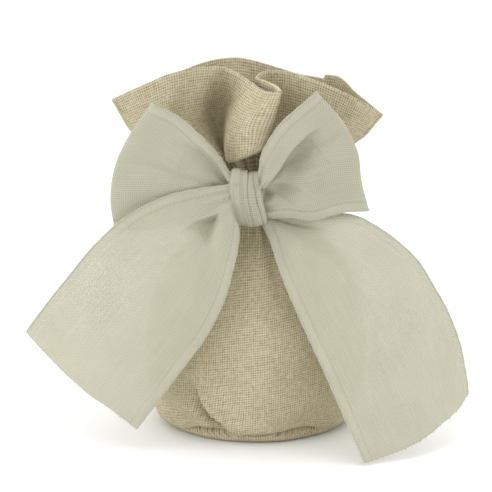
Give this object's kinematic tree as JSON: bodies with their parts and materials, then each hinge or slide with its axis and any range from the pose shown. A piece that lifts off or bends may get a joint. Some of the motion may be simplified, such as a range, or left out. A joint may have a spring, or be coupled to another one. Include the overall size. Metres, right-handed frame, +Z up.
{
  "type": "drawstring gift pouch",
  "caption": "Small standing linen pouch, its neck gathered and tied with a wide sheer ribbon bow below a flared, hemmed frill.",
  "frame": {"origin": "centre of the flat base that the pouch stands on", "axes": "+Z up, towards the mouth; the bow is on the -Y side; +X is to the right when looking at the bow"},
  "size_m": [0.1177, 0.0693, 0.0971],
  "materials": {
    "linen": "plain-woven natural linen, matt",
    "linen_seam": "plain-woven natural linen, turned and pressed",
    "ribbon": "fine slightly sheer woven ribbon, matt with denser edges"
  },
  "bodies": {
    "pouch": {"front_panel": "linen", "back_panel": "linen", "base_panel": "linen", "base_seam": "linen_seam", "left_side_seam": "linen_seam", "right_side_seam": "linen_seam", "left_frill_corner": "linen", "right_frill_corner": "linen", "neck_band": "ribbon", "bow_centre": "ribbon", "knot_wrap": "ribbon"},
    "front_lip": {"front_frill": "linen", "front_hem": "linen_seam"},
    "back_lip": {"back_frill": "linen", "back_hem": "linen_seam"},
    "left_loop": {"left_loop": "ribbon"},
    "right_loop": {"right_loop": "ribbon"},
    "left_tail": {"left_tail": "ribbon"},
    "right_tail": {"right_tail": "ribbon"}
  },
  "joints": [
    {"name": "front_lip_bend", "type": "hinge", "parent": "pouch", "child": "front_lip", "pos_m": [0, -0.0065, 0.071], "axis": [1, 0, 0], "range_deg": [-8, 2]},
    {"name": "back_lip_bend", "type": "hinge", "parent": "pouch", "child": "back_lip", "pos_m": [0, 0.0065, 0.071], "axis": [-1, 0, 0], "range_deg": [-10, 35]},
    {"name": "left_loop_lift", "type": "hinge", "parent": "pouch", "child": "left_loop", "pos_m": [-0.0073, -0.0168, 0.065], "axis": [0, 1, 0], "range_deg": [-10, 15]},
    {"name": "right_loop_lift", "type": "hinge", "parent": "pouch", "child": "right_loop", "pos_m": [0.0021, -0.0168, 0.065], "axis": [0, -1, 0], "range_deg": [-10, 15]},
    {"name": "left_tail_lift", "type": "hinge", "parent": "pouch", "child": "left_tail", "pos_m": [-0.009, -0.0215, 0.067], "axis": [-1, 0, 0], "range_deg": [0, 70]},
    {"name": "right_tail_lift", "type": "hinge", "parent": "pouch", "child": "right_tail", "pos_m": [0.004, -0.0175, 0.059], "axis": [-1, 0, 0], "range_deg": [0, 70]}
  ]
}
